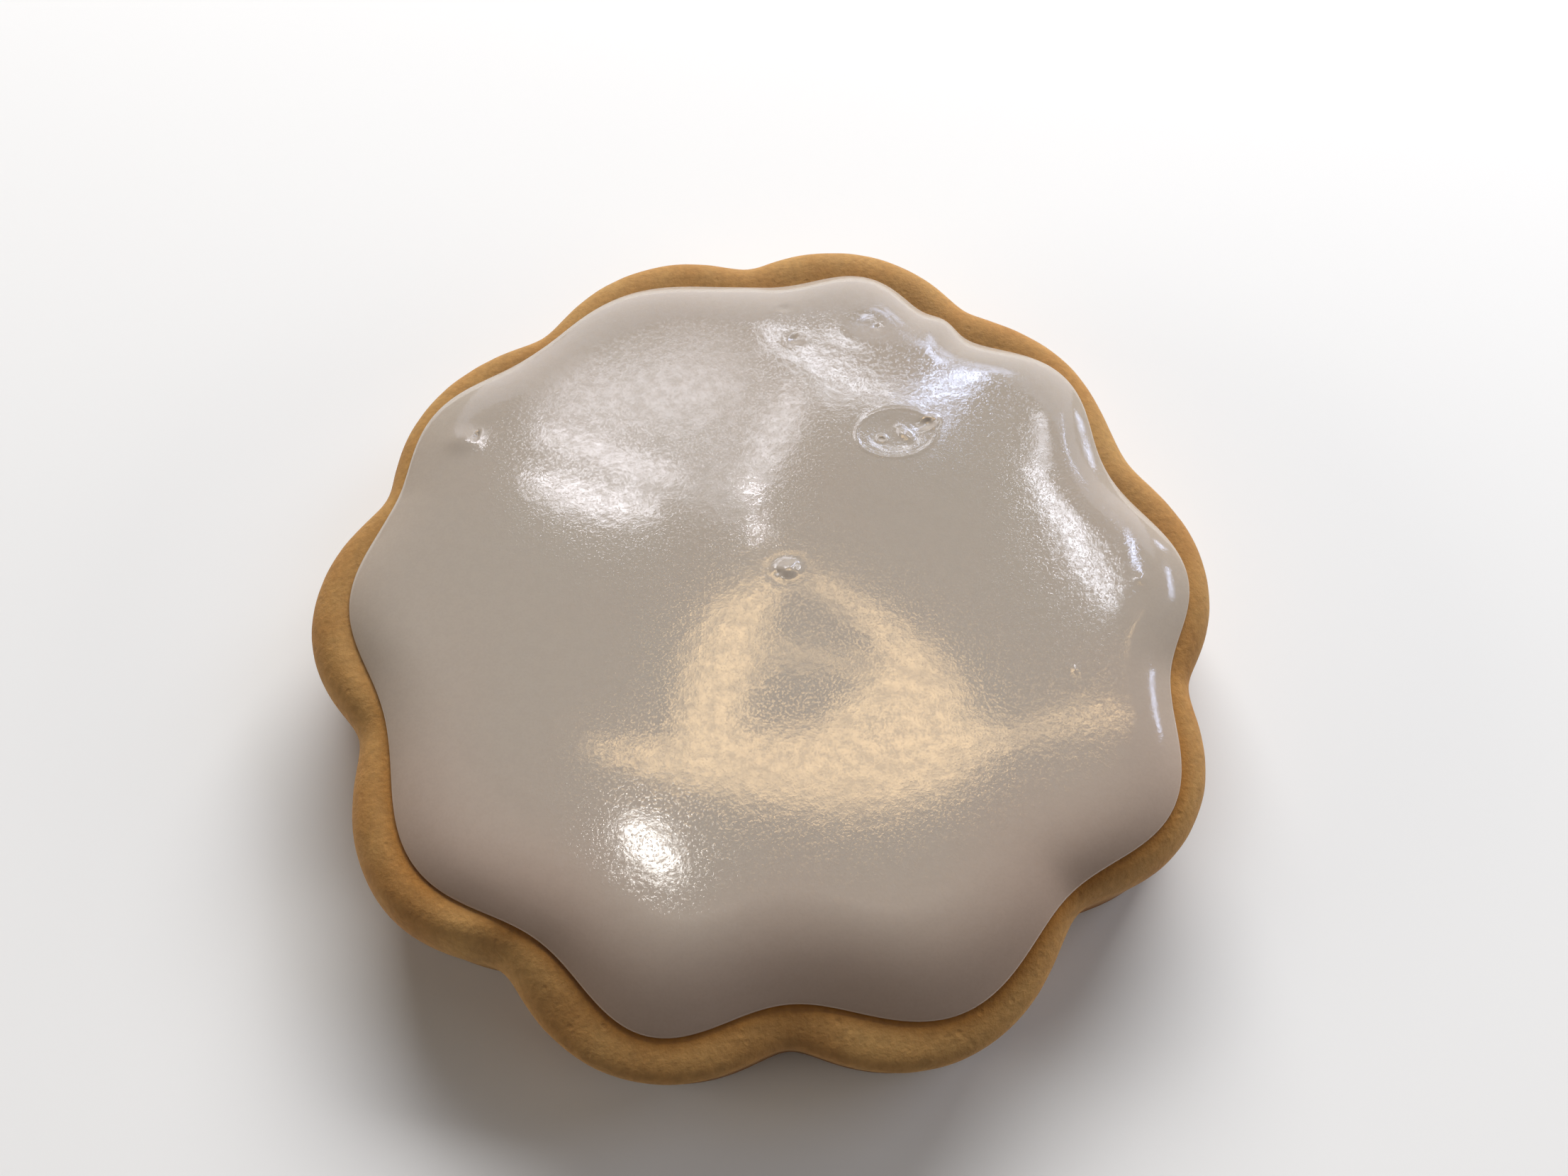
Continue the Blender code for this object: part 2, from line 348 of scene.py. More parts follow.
@dataclass(frozen=True)
class SugarIcing:
    """Poured icing of sugar and water, air-dried: a glossy skin with a fine crystal grain.

    The body is cloudy and slightly see-through, so edges stay soft. The skin is finely creased
    and dusted with crystals, and breaks a mirrored light into a satin sparkle.
    """

    name: str = "poured_sugar_icing"
    body: str = "#B0A699"
    warm: str = "#B2A496"
    thin_edge_and_reflection: str = "#AE9282"  # the dough below tints the thinner edge, and at the front a painted warm reflection
    roughness: float = 0.05
    frosted: float = 0.14  # roughness where crystals stand in the skin
    ior: float = 1.49
    glow_through: float = 0.25  # share of the light that spreads inside
    glow_depth: float = 0.7 * MM
    streak: float = 0.0044 * MM  # height of the drying creases
    ripple: float = 0.0032 * MM  # height of the finer ones
    grain: float = 0.0008 * MM  # height of the crystals
    drawn_out: tuple[float, float, float] = (0.85, 1.0, 1.0)  # creases run a little along X
    crystal_range: tuple[float, float] = (0.53, 0.68)
    powder_range: tuple[float, float] = (1.25, 1.75)
    gloss: tuple[float, float] = (0.35, 0.74)  # sugar powder dulls the skin in specks

    def material(self) -> Material:
        """Builds the material: a slow tint, creases and a crystal grain over a glossy base.

        Returns:
            The material.
        """
        material, tree, shader = fresh_material(
            self.name,
            {
                "IOR": self.ior,
                "Subsurface Weight": self.glow_through,
                "Subsurface Radius": (1.0, 0.8, 0.6),
                "Subsurface Scale": self.glow_depth,
            },
        )
        place = node(tree, "TexCoord").outputs["Object"]
        drawn = node(tree, "Mapping", {"Vector": place, "Scale": self.drawn_out})
        tint, streak, ripple, grain = (
            node(
                tree,
                "TexNoise",
                {"Vector": at, "Scale": size.scale, "Detail": detail, "Roughness": rough},
            ).outputs["Fac"]
            for at, size, detail, rough in (
                (place, Pattern.SLOW_TINT, 2.0, 0.5),
                (drawn.outputs["Vector"], Pattern.SKIN_STREAK, 1.0, 0.5),
                (place, Pattern.SKIN_RIPPLE, 3.0, 0.6),
                (place, Pattern.SUGAR_GRAIN, 0.0, 0.5),
            )
        )
        # warmer near the edge: dough showing through, and towards the front a painted warm
        # reflection
        thin_edge_and_reflection = node(tree, "Attribute", attribute_name="thin_edge_and_reflection").outputs["Fac"]
        colour: object = linear(self.body)
        for share, tone in ((tint, self.warm), (thin_edge_and_reflection, self.thin_edge_and_reflection)):
            links = {"Factor": share, "A": colour, "B": linear(tone)}
            colour = node(tree, "Mix", links, data_type="RGBA").outputs["Result"]
        tree.links.new(colour, shader.inputs["Base Color"])
        least, most = self.crystal_range
        crystals = node(
            tree,
            "MapRange",
            {"Value": grain, "From Min": least, "From Max": most},
            interpolation_type="SMOOTHSTEP",
        ).outputs["Result"]
        links = {"Strength": 1.0}
        heights = (self.streak, self.ripple, self.grain)
        for height, distance in zip((streak, ripple, crystals), heights):
            links |= {"Height": height, "Distance": distance}
            links["Normal"] = node(tree, "Bump", links).outputs["Normal"]
        tree.links.new(links["Normal"], shader.inputs["Normal"])
        powder = ripple
        for part in (grain, streak):
            powder = node(tree, "Math", {0: part, 1: powder}, operation="ADD").outputs["Value"]
        for socket, value, (a, b), (c, d) in (
            ("Roughness", crystals, (0.0, 1.0), (self.roughness, self.frosted)),
            ("Specular IOR Level", powder, self.powder_range, self.gloss),
        ):
            links = {"Value": value, "From Min": a, "From Max": b, "To Min": c, "To Max": d}
            mapped = node(tree, "MapRange", links)
            tree.links.new(mapped.outputs["Result"], shader.inputs[socket])
        return material


@dataclass(frozen=True)
class StudioBoard:
    """Painted board under the cookie: pale, matt and even."""

    name: str = "painted_board"
    paint: str = "#F4F3F1"
    roughness: float = 0.9

    def material(self) -> Material:
        """Builds the board's material."""
        sockets = {"Base Color": linear(self.paint), "Roughness": self.roughness}
        return fresh_material(self.name, sockets)[0]


# ---- mesh helpers


def spin_profile(profile: list[tuple[float, float]], steps: int) -> BMesh:
    """Turns a profile once round Z into a closed round body.

    Args:
        profile: Radius and height of each point, from axis to axis.
        steps: How many faces there are round the body.

    Returns:
        The mesh, with its poles and its seam closed.
    """
    mesh = bmesh.new()
    chain = [mesh.verts.new((radius, 0.0, height)) for radius, height in profile]
    edges = [mesh.edges.new(pair) for pair in zip(chain, chain[1:])]
    bmesh.ops.spin(
        mesh,
        geom=chain + edges,
        cent=(0, 0, 0),
        axis=(0, 0, 1),
        angle=2 * math.pi,
        steps=steps,
        use_merge=True,
    )
    bmesh.ops.remove_doubles(mesh, verts=mesh.verts, dist=0.0001 * MM)
    return mesh


def lay(mesh: BMesh, place: Callable[[Array], Array]) -> None:
    """Moves every vertex.

    Args:
        mesh: The mesh to shape.
        place: Gives the new points for an array of old ones.
    """
    points = place(np.array([vertex.co for vertex in mesh.verts]))
    for vertex, point in zip(mesh.verts, points):
        vertex.co = point


def slow_noise(points: Array, size: float, seed: float) -> Array:
    """Smooth noise of about -1 to 1.

    Args:
        points: Places in metres.
        size: Width of one lump.
        seed: Shift that picks another pattern.

    Returns:
        One value for each point.
    """
    shift = Vector((seed, 2 * seed, 3 * seed))
    return np.array([noise.noise(Vector(point) / size + shift) for point in points])


def as_piece(name: str, mesh: BMesh, material: Material) -> Object:
    """Makes a smooth-shaded object of a mesh, with its faces pointing out.

    Args:
        name: The piece's name.
        mesh: Its finished mesh, which is freed.
        material: Its material.

    Returns:
        The object, at the origin.
    """
    bmesh.ops.recalc_face_normals(mesh, faces=mesh.faces)
    data = bpy.data.meshes.new(name)
    mesh.to_mesh(data)
    mesh.free()
    data.shade_smooth()
    data.materials.append(material)
    piece = bpy.data.objects.new(name, data)
    bpy.context.scene.collection.objects.link(piece)
    return piece


def paint(piece: Object, name: str, values: Array) -> None:
    """Stores one number for each vertex, 0 to 1, under an attribute's name."""
    attribute = piece.data.attributes.new(name, "FLOAT", "POINT")
    attribute.data.foreach_set("value", np.clip(values, 0, 1).astype(np.float32))


# ---- biscuit


@dataclass
class Biscuit:
    """The baked biscuit: rounded foot, upright wall, round shoulder, low rim and a flat field."""

    outline: PetalOutline = field(default_factory=PetalOutline)
    finish: BakedDough = field(default_factory=BakedDough)
    rim_height: float = 9.5 * MM
    field_height: float = 9.0 * MM
    foot_radius: float = 0.8 * MM
    wall_top: float = 6.8 * MM
    crest_inset: float = 2.8 * MM
    field_inset: float = 6.0 * MM
    front_drop: float = 1.4 * MM  # how much lower the rim lies at the front, towards -Y
    front_start: float = 24.5 * MM
    front_span: float = 9.0 * MM
    nominal_radius: float = 35.0 * MM
    steps: int = 560
    lumps: tuple[tuple[float, float, float], ...] = (  # breadth, height and seed
        (5.0 * MM, 0.06 * MM, 3.1),
        (1.7 * MM, 0.02 * MM, 7.7),
    )
    lump_fade: float = 2.0 * MM  # height over which they begin
    brown_foot: float = 0.5 * MM  # height up to which the wall is at its brownest
    brown_fade: float = 5.5 * MM  # height over which the brown fades above it
    brown_patch: float = 6.0 * MM
    soak_and_shade_width: float = 0.8 * MM
    shade_front_start: float = 5.0 * MM  # from here to the front the band darkens more: painted shadow of the icing
    shade_front_span: float = 30.0 * MM
    pale_spot: tuple[float, float, float] = (-21.5 * MM, -25.5 * MM, 2.2 * MM)  # x, y, reach

    def front_share(self, y: Array) -> Array:
        """How far the rim has dropped, from 0 behind the front to 1 at its very edge."""
        return smooth_step((-y - self.front_start) / self.front_span)

    def fallen(self, height: Array, y: Array) -> Array:
        """Lowers heights above the wall by the drop of the front.

        Args:
            height: Heights before the drop.
            y: Places along Y, about the outline's middle.

        Returns:
            The heights after it.
        """
        share = self.front_share(y) * self.front_drop / (self.rim_height - self.wall_top)
        return height - np.maximum(height - self.wall_top, 0) * share

    def top(self, bearing: Array, radius: Array) -> Array:
        """Height of the upper side.

        Args:
            bearing: Bearings in radians.
            radius: Distances from the outline's middle.

        Returns:
            Heights over shoulder, rim and field.
        """
        level = self.section(self.outline.radius(bearing) - radius)
        return self.fallen(level, radius * np.sin(bearing))

    def section(self, inset: Array) -> Array:
        """Height of the upper side where the front hasn't dropped.

        Args:
            inset: Distances from the wall.

        Returns:
            The height at each.
        """
        across = 1 - np.clip(inset / self.crest_inset, 0, 1)
        shoulder = self.wall_top + (self.rim_height - self.wall_top) * np.sqrt(1 - across**2)
        slope = smooth_step((inset - self.crest_inset) / (self.field_inset - self.crest_inset))
        return shoulder - (self.rim_height - self.field_height) * slope

    def profile(self) -> list[tuple[float, float]]:
        """Draws the section of a round biscuit of the nominal radius.

        Returns:
            Radius and height from the base's middle out and up to the field's middle.
        """
        wall = self.nominal_radius
        points = [(wall * share, 0.0) for share in (0.0, 0.3, 0.6, 0.8, 0.9)]
        for turn in np.linspace(0, math.pi / 2, 7):
            inset = self.foot_radius * (1 - math.sin(turn))
            points.append((wall - inset, self.foot_radius * (1 - math.cos(turn))))
        points += [(wall, h) for h in np.linspace(self.foot_radius, self.wall_top, 13)[1:-1]]
        shoulder = self.crest_inset * (1 - np.cos(np.linspace(0, math.pi / 2, 17)))
        slope = np.linspace(self.crest_inset, self.field_inset, 12)[1:]
        insets = np.concatenate((shoulder, slope))
        points += zip(wall - insets, self.section(insets))
        points += [(wall * share, self.field_height) for share in (0.7, 0.5, 0.25, 0.0)]
        return points

    def build(self, icing_edge: SwellOutline) -> Object:
        """Builds and dresses the biscuit.

        Args:
            icing_edge: The icing's outline, beside which the dough is soaked.

        Returns:
            The finished piece.
        """
        mesh = spin_profile(self.profile(), self.steps)
        lay(mesh, self.place)
        piece = as_piece("biscuit_dressed", mesh, self.finish.material())
        points = np.array([vertex.co for vertex in piece.data.vertices])
        centre = np.array([*self.outline.middle(), 0.0])
        self.dress(piece, points + centre, icing_edge)
        return piece

    def place(self, points: Array) -> Array:
        """Lays the round section to the petals, with the unevenness of baked dough.

        Args:
            points: The round section's points.

        Returns:
            Their places in the part's frame.
        """
        bearing, radius = polar(points[:, 0], points[:, 1])
        wall = self.outline.radius(bearing)
        inset = self.nominal_radius - radius
        band = self.nominal_radius - self.field_inset
        inner = radius / band * (wall - self.field_inset)
        laid = np.where(inset < self.field_inset, wall - inset, inner)
        x, y = laid * np.cos(bearing), laid * np.sin(bearing)
        z = self.fallen(points[:, 2], y)
        at = np.column_stack((x, y, z))
        dent = sum(height * (slow_noise(at, size, seed) - 1) for size, height, seed in self.lumps)
        dent *= inset < self.field_inset
        upper = smooth_step(z / self.lump_fade)
        x += dent * np.cos(bearing) * upper
        y += dent * np.sin(bearing) * upper
        z += dent * smooth_step((z - self.wall_top) / self.lump_fade)
        middle_x, middle_y = self.outline.middle()
        return np.column_stack((x - middle_x, y - middle_y, z))

    def dress(self, piece: Object, points: Array, icing_edge: SwellOutline) -> None:
        """Paints where the dough is browned, where soaking and painted shade beside the icing
        darken it, and a paler spot.

        Args:
            piece: The biscuit.
            points: Its vertices, about the middle of the outline's own circle.
            icing_edge: The icing's outline.
        """
        x, y, height = points.T
        bearing, radius = polar(x, y)
        patches = slow_noise(points, self.brown_patch, 1.3)
        low = 1 - smooth_step((height - self.brown_foot) / self.brown_fade)
        base = height < 0.8 * self.brown_foot
        paint(piece, "browned", 0.08 + 0.7 * low + 0.15 * patches - 0.15 * base)
        beside = np.maximum(radius - icing_edge.radius(bearing), 0)
        # painted shade: a little soaking all round, and towards the front a painted shadow of the
        # icing
        share = 0.15 + 0.85 * smooth_step((self.shade_front_start - y) / self.shade_front_span)
        paint(piece, "soaked_and_shaded", share * np.exp(-((beside / self.soak_and_shade_width) ** 2)))
        spot_x, spot_y, reach = self.pale_spot
        paint(piece, "pale", 0.5 * np.exp(-((np.hypot(x - spot_x, y - spot_y) / reach) ** 2)))


# ---- icing


@dataclass(frozen=True)
class Scar:
    """What a bubble leaves in the icing's skin: a hollow or a hill, with a lip round it.

    Sizes are in millimetres, in the outline's own frame, and turns in degrees.
    """

    x: float
    y: float
    half_x: float
    half_y: float
    depth: float  # negative for a hill
    lip: float = 0.0
    lip_width: float = 0.35  # as a share of the half widths
    lip_bearing: float | None = None  # where the lip is highest; None for all round
    turn: float = 0.0
    sharpness: float = 2.0  # 2 for a round hollow, more for a flat floor
    floor: float = 0.72  # as a share of the half widths

    def relief(self, x: Array, y: Array) -> Array:
        """Height that the scar adds.

        Args:
            x: Places along X, in metres.
            y: Places along Y, in metres.

        Returns:
            The added height at each place.
        """
        x, y = x / MM - self.x, y / MM - self.y
        cos, sin = math.cos(math.radians(self.turn)), math.sin(math.radians(self.turn))
        distance = np.hypot((x * cos + y * sin) / self.half_x, (y * cos - x * sin) / self.half_y)
        hollow = -self.depth * np.exp(-((distance / self.floor) ** self.sharpness))
        rim = self.lip * np.exp(-(((distance - 1.0) / self.lip_width) ** 2))
        if self.lip_bearing is not None:
            turn = np.arctan2(y, x) - math.radians(self.lip_bearing)
            rim = rim * (0.5 + 0.5 * np.cos(turn)) ** 1.5
        return (hollow + rim) * MM


@dataclass(frozen=True)
class Fold:
    """A long soft ridge, or a valley if its height is negative. Sizes are in millimetres."""

    start: tuple[float, float]
    end: tuple[float, float]
    width: float
    height: float
    bow: float = 0.0  # how far its middle stands off the straight line, to its left
    fade: float = 0.25  # share of its length over which each end fades

    def relief(self, x: Array, y: Array) -> Array:
        """Height that the fold adds.

        Args:
            x: Places along X, in metres.
            y: Places along Y, in metres.

        Returns:
            The added height at each place.
        """
        x, y = x / MM - self.start[0], y / MM - self.start[1]
        run_x, run_y = np.array(self.end) - np.array(self.start)
        length = math.hypot(run_x, run_y)
        share = (x * run_x + y * run_y) / length**2
        aside = (y * run_x - x * run_y) / length - self.bow * 4 * share * (1 - share)
        ends = smooth_step(share / self.fade) * smooth_step((1 - share) / self.fade)
        return self.height * MM * ends * np.exp(-((aside / self.width) ** 2))


@dataclass
class Icing:
    """The poured icing: a rounded edge, a band that eases off, and a low wavy dome with scars."""

    biscuit: Biscuit
    outline: SwellOutline = field(default_factory=SwellOutline)
    finish: SugarIcing = field(default_factory=SugarIcing)
    shoulder_height: float = 10.88 * MM
    dome: float = 0.14 * MM
    roll_off: float = 6.0 * MM
    front_roll_off: float = 7.3 * MM
    ease: float = 3.0
    front_ease: float = 1.7
    edge_height: float = 0.25 * MM
    edge_round: float = 0.12 * MM
    edge_tuck: float = 0.2 * MM
    sink: float = 0.25 * MM  # how far the foot is set into the dough
    band: float = 8.0 * MM  # width of the band whose rings follow the edge
    nominal_radius: float = 32.0 * MM
    ring_spacing: float = 0.24 * MM
    crown: float = 4.0 * MM  # radius of the finer rings round the middle scar
    crown_spacing: float = 0.1 * MM
    finest: float = 0.07 * MM
    refined: float = 1.45  # how far round a scar the faces are finer, in its half widths
    steps: int = 440
    skin_mark: float = 2.0 * MM  # heights that tell skin and underside apart in the section
    foot_mark: float = -1.0 * MM
    relief_fade: float = 1.2 * MM  # inset over which waves and scars begin
    reflection_front_start: float = 2.0 * MM  # from here to the front the edge's tint grows: painted warm reflection
    reflection_front_span: float = 22.0 * MM
    tint_reach: float = 7.0 * MM
    pour: tuple[tuple[float, float, float, float], ...] = (
        # length in millimetres, bearing in degrees, shift, height in millimetres
        (21.0, 20, 0.4, 0.009),
        (14.0, 75, 1.9, 0.003),
        (9.0, 140, 4.1, 0.001),
        (6.5, 50, 2.7, 0.0004),
    )
    scars: tuple[Scar, ...] = (
        Scar(1.75, 0.35, 1.15, 0.95, -0.18, -0.02, 0.5),
        Scar(2.25, 0.85, 0.5, 0.35, -0.03, 0, 0.3, None, -40),
        Scar(1.0, 0.1, 0.35, 0.3, 0.05),
        Scar(11.0, 12.7, 3.3, 2.4, 0.03, 0.018, 0.055, None, 6, 6),
        Scar(11.7, 12.5, 0.9, 0.5, -0.07, 0, 0.3, None, -50),
        Scar(9.8, 12.1, 0.35, 0.28, 0.05, 0.03, 0.4),
        Scar(13.6, 13.5, 0.9, 0.6, 0.15, 0.06, 0.3, 10, 20),
        Scar(10.0, 24.2, 2.6, 1.8, 0.08, 0.03, 0.6, 170, -8),
        Scar(10.3, 23.8, 0.5, 0.4, 0.05),
        Scar(3.1, 22.7, 0.8, 0.6, 0.07, 0.03, 0.4, 200),
        Scar(2.2, 26.3, 0.8, 0.6, 0.06, 0.03, 0.4, 180),
        Scar(-24.9, 13.3, 1.9, 1.5, -0.17),
        Scar(-23.65, 13.7, 0.28, 0.6, 0.13, 0.03, 0.4, 20, -15),
        Scar(28.7, -1.3, 0.7, 0.6, -0.05),
        Scar(22.5, -8.5, 0.35, 0.35, -0.04),
    )
    folds: tuple[Fold, ...] = (
        Fold((27.6, 4.0), (27.7, -3.0), 0.6, 0.006, 0.3),
        Fold((-24.0, -11.5), (-15.0, -20.0), 0.6, -0.008),
    )

    def place(self, points: Array) -> Array:
        """Lays the round section to the icing's outline, height and relief.

        Args:
            points: The round section's points.

        Returns:
            Their places in the part's frame.
        """
        bearing, radius = polar(points[:, 0], points[:, 1])
        edge = self.outline.radius(bearing)
        inset = self.nominal_radius - radius
        inner = radius / (self.nominal_radius - self.band) * (edge - self.band)
        laid = np.where(inset < self.band, edge - inset, inner)
        x, y = laid * np.cos(bearing), laid * np.sin(bearing)
        mark = points[:, 2]
        under = self.biscuit.top(bearing, laid) - self.sink
        tuck = self.biscuit.top(bearing, edge) - self.sink + mark
        z = np.where(mark > self.skin_mark / 2, self.skin(x, y), np.where(mark > 0, tuck, under))
        middle_x, middle_y = self.biscuit.outline.middle()
        return np.column_stack((x - middle_x, y - middle_y, z))

    def rise(self, x: Array, y: Array) -> Array:
        """Height of the skin before its waves and scars.

        Args:
            x: Places along X, about the outline's middle.
            y: Places along Y.

        Returns:
            The height at each place.
        """
        bearing, radius = polar(x, y)
        edge = self.outline.radius(bearing)
        inset = edge - radius
        front = self.biscuit.front_share(edge * np.sin(bearing))
        widest = self.biscuit.top(bearing, edge) + self.edge_height - self.sink
        rounding = 1 - np.clip(inset / self.edge_round, 0, 1)
        lip = widest + self.edge_round * np.sqrt(np.maximum(1 - rounding**2, 0))
        width = self.roll_off + (self.front_roll_off - self.roll_off) * front
        slope = 1 - np.clip(inset / width, 0, 1)
        ease = self.ease + (self.front_ease - self.ease) * front
        rise = (self.shoulder_height - widest - self.edge_round) * (1 - slope**ease)
        return lip + rise + self.dome * np.maximum(0, 1 - (radius / self.outline.base) ** 2)

    def skin(self, x: Array, y: Array) -> Array:
        """Height of the upper skin.

        Args:
            x: Places along X, about the outline's middle.
            y: Places along Y.

        Returns:
            The height at each place.
        """
        bearing, radius = polar(x, y)
        inset = self.outline.radius(bearing) - radius
        relief = self.waves(x, y)
        for mark in self.scars + self.folds:
            relief = relief + mark.relief(x, y)
        return self.rise(x, y) + relief * smooth_step(inset / self.relief_fade)

    def waves(self, x: Array, y: Array) -> Array:
        """Height of the slow waves that the pour leaves.

        Args:
            x: Places along X, about the outline's middle.
            y: Places along Y.

        Returns:
            The height at each place, a few hundredths of a millimetre at most.
        """
        height = np.zeros_like(x)
        for length, bearing, shift, size in self.pour:
            turn = math.radians(bearing)
            along = x * math.cos(turn) + y * math.sin(turn)
            height += size * MM * (np.sin(2 * math.pi * along / (length * MM) + shift) - 1)
        return height

    def level(self, x: Array, y: Array) -> Array:
        """Height of the skin without its scars, in the outline's own frame."""
        return self.rise(x, y) + self.waves(x, y)

    def mirrored(self, x: Array, y: Array, eye: Array) -> tuple[Array, Array]:
        """Finds which way the skin mirrors lines of sight.

        Args:
            x: Places on the skin along X, in the outline's own frame.
            y: Places along Y.
            eye: Where the lines of sight come from, in the part's frame.

        Returns:
            The points on the skin, in the part's frame, and the mirrored directions.
        """
        step = 0.5 * MM
        slope_x = (self.level(x + step, y) - self.level(x - step, y)) / (2 * step)
        slope_y = (self.level(x, y + step) - self.level(x, y - step)) / (2 * step)
        middle_x, middle_y = self.biscuit.outline.middle()
        points = np.column_stack((x - middle_x, y - middle_y, self.level(x, y)))
        sight = points - eye
        sight /= np.linalg.norm(sight, axis=1)[:, None]
        normal = np.column_stack((-slope_x, -slope_y, np.ones_like(x)))
        normal /= np.linalg.norm(normal, axis=1)[:, None]
        return points, sight - 2 * np.sum(sight * normal, axis=1)[:, None] * normal

    def profile(self) -> list[tuple[float, float]]:
        """The round section's points, whose heights tell skin, edge and underside apart.

        Returns:
            Radius and height from the crown on the axis out to the edge and back underneath.
        """
        edge, above = self.nominal_radius, self.skin_mark
        rings = round(self.crown / self.crown_spacing)
        points = [(radius, above) for radius in np.linspace(0, self.crown, rings)]
        rings = round((edge - self.edge_round - self.crown) / self.ring_spacing)
        spread = np.linspace(self.crown, edge - self.edge_round, rings + 1)[1:]
        points += [(radius, above) for radius in spread]
        turns = np.linspace(0, math.pi / 2, 7)[1:]
        points += [(edge - self.edge_round * (1 - math.sin(turn)), above) for turn in turns]
        for turn in np.linspace(0, math.pi / 2, 5)[1:-1]:
            tucked = self.edge_tuck * (1 - math.cos(turn))
            points.append((edge - tucked, self.edge_height * (1 - math.sin(turn))))
        points += [(edge * share, self.foot_mark) for share in (0.95, 0.9, 0.8, 0.6, 0.3, 0.0)]
        return points

    def refine(self, mesh: BMesh) -> None:
        """Cuts the faces round the scars finer, before the section is laid.

        Args:
            mesh: The round section's body.
        """
        for scar in self.scars:
            radius = math.hypot(scar.x, scar.y) * MM
            if radius < self.crown:
                continue
            reach = self.refined * max(scar.half_x, scar.half_y) * MM
            bearing = math.atan2(scar.y, scar.x)
            rim = float(self.outline.radius(np.array([bearing]))[0])
            if rim - radius > self.band:
                radius *= (self.nominal_radius - self.band) / (rim - self.band)
            else:
                radius += self.nominal_radius - rim
            centre = Vector((math.cos(bearing), math.sin(bearing))) * radius
            near = {
                vertex
                for vertex in mesh.verts
                if vertex.co.z > self.skin_mark / 2 and (vertex.co.xy - centre).length < reach
            }
            edges = [
                edge
                for edge in mesh.edges
                if near.issuperset(edge.verts) and edge.calc_length() > self.finest
            ]
            bmesh.ops.subdivide_edges(mesh, edges=edges, cuts=1, use_grid_fill=True)

    def build(self) -> Object:
        """Builds and dresses the icing.

        Returns:
            The finished piece.
        """
        mesh = spin_profile(self.profile(), self.steps)
        self.refine(mesh)
        lay(mesh, self.place)
        piece = as_piece("icing_dressed", mesh, self.finish.material())
        points = np.array([vertex.co for vertex in piece.data.vertices])
        middle_x, middle_y = self.biscuit.outline.middle()
        x, y = points[:, 0] + middle_x, points[:, 1] + middle_y
        bearing, radius = polar(x, y)
        inset = np.maximum(self.outline.radius(bearing) - radius, 0)
        # painted warm reflection: the edge tint is faint all round and grows towards the front
        share = 0.05 + 0.5 * smooth_step((-y - self.reflection_front_start) / self.reflection_front_span)
        paint(piece, "thin_edge_and_reflection", share * np.exp(-((inset / self.tint_reach) ** 2)))
        return piece


# ---- studio


@dataclass(frozen=True)
class Viewpoint:
    """The camera: it stands near and looks steeply down, a little turned about its own axis."""

    lens: float = 22.78  # mm, on a 36 mm wide sensor
    distance: float = 87.86 * MM
    elevation: float = math.radians(64.36)
    roll: float = math.radians(-1.77)
    aim: tuple[float, float] = (1.39 * MM, 4.05 * MM)

    def eye(self, middle: tuple[float, float]) -> Vector:
        """Where the camera stands.

        Args:
            middle: What the outline's own frame is moved by to be set over the origin.

        Returns:
            The camera's place in the part's frame.
        """
        back = self.distance * math.cos(self.elevation)
        height = self.distance * math.sin(self.elevation)
        return Vector((self.aim[0] - middle[0], self.aim[1] - middle[1] - back, height))

    def build(self, eye: Vector) -> None:
        """Makes the scene's camera.

        Args:
            eye: Where it stands.
        """
        data = bpy.data.cameras.new("camera")
        data.lens = self.lens
        data.sensor_width = 36.0
        data.clip_start = 0.01
        camera = bpy.data.objects.new("camera", data)
        tilt = Matrix.Rotation(math.pi / 2 - self.elevation, 3, "X")
        turn = tilt @ Matrix.Rotation(self.roll, 3, "Z")
        camera.matrix_world = Matrix.Translation(eye) @ turn.to_4x4()
        bpy.context.scene.collection.objects.link(camera)
        bpy.context.scene.camera = camera


class LampUse(Enum):
    """What a lamp is for: to light the surfaces, or to be mirrored in them."""

    LIGHT = "light"
    SHEEN = "sheen"


@dataclass(frozen=True)
class Softbox:
    """A lamp by its bearing (clockwise from +Y) and elevation in degrees, and size in metres."""

    name: str
    bearing: float
    elevation: float
    distance: float
    width: float
    height: float
    radiance: float
    colour: str
    use: LampUse

    def build(self) -> None:
        """Makes the lamp, turned to face the cookie."""
        raised = Matrix.Rotation(math.radians(self.elevation), 3, "X") @ Vector((0, 1, 0))
        away = Matrix.Rotation(-math.radians(self.bearing), 3, "Z") @ raised
        across = Vector((0, 0, 1)).cross(away).normalized()
        data = bpy.data.lights.new(self.name, "AREA")
        data.shape = "RECTANGLE"
        data.size, data.size_y = self.width, self.height
        data.color = linear(self.colour)[:3]
        data.energy = self.radiance * math.pi * self.width * self.height
        lamp = bpy.data.objects.new(self.name, data)
        turn = Matrix((across, away.cross(across), away)).transposed()
        lamp.matrix_world = Matrix.Translation(away * self.distance) @ turn.to_4x4()
        lamp.visible_diffuse = self.use is LampUse.LIGHT
        lamp.visible_glossy = self.use is LampUse.SHEEN
        bpy.context.scene.collection.objects.link(lamp)


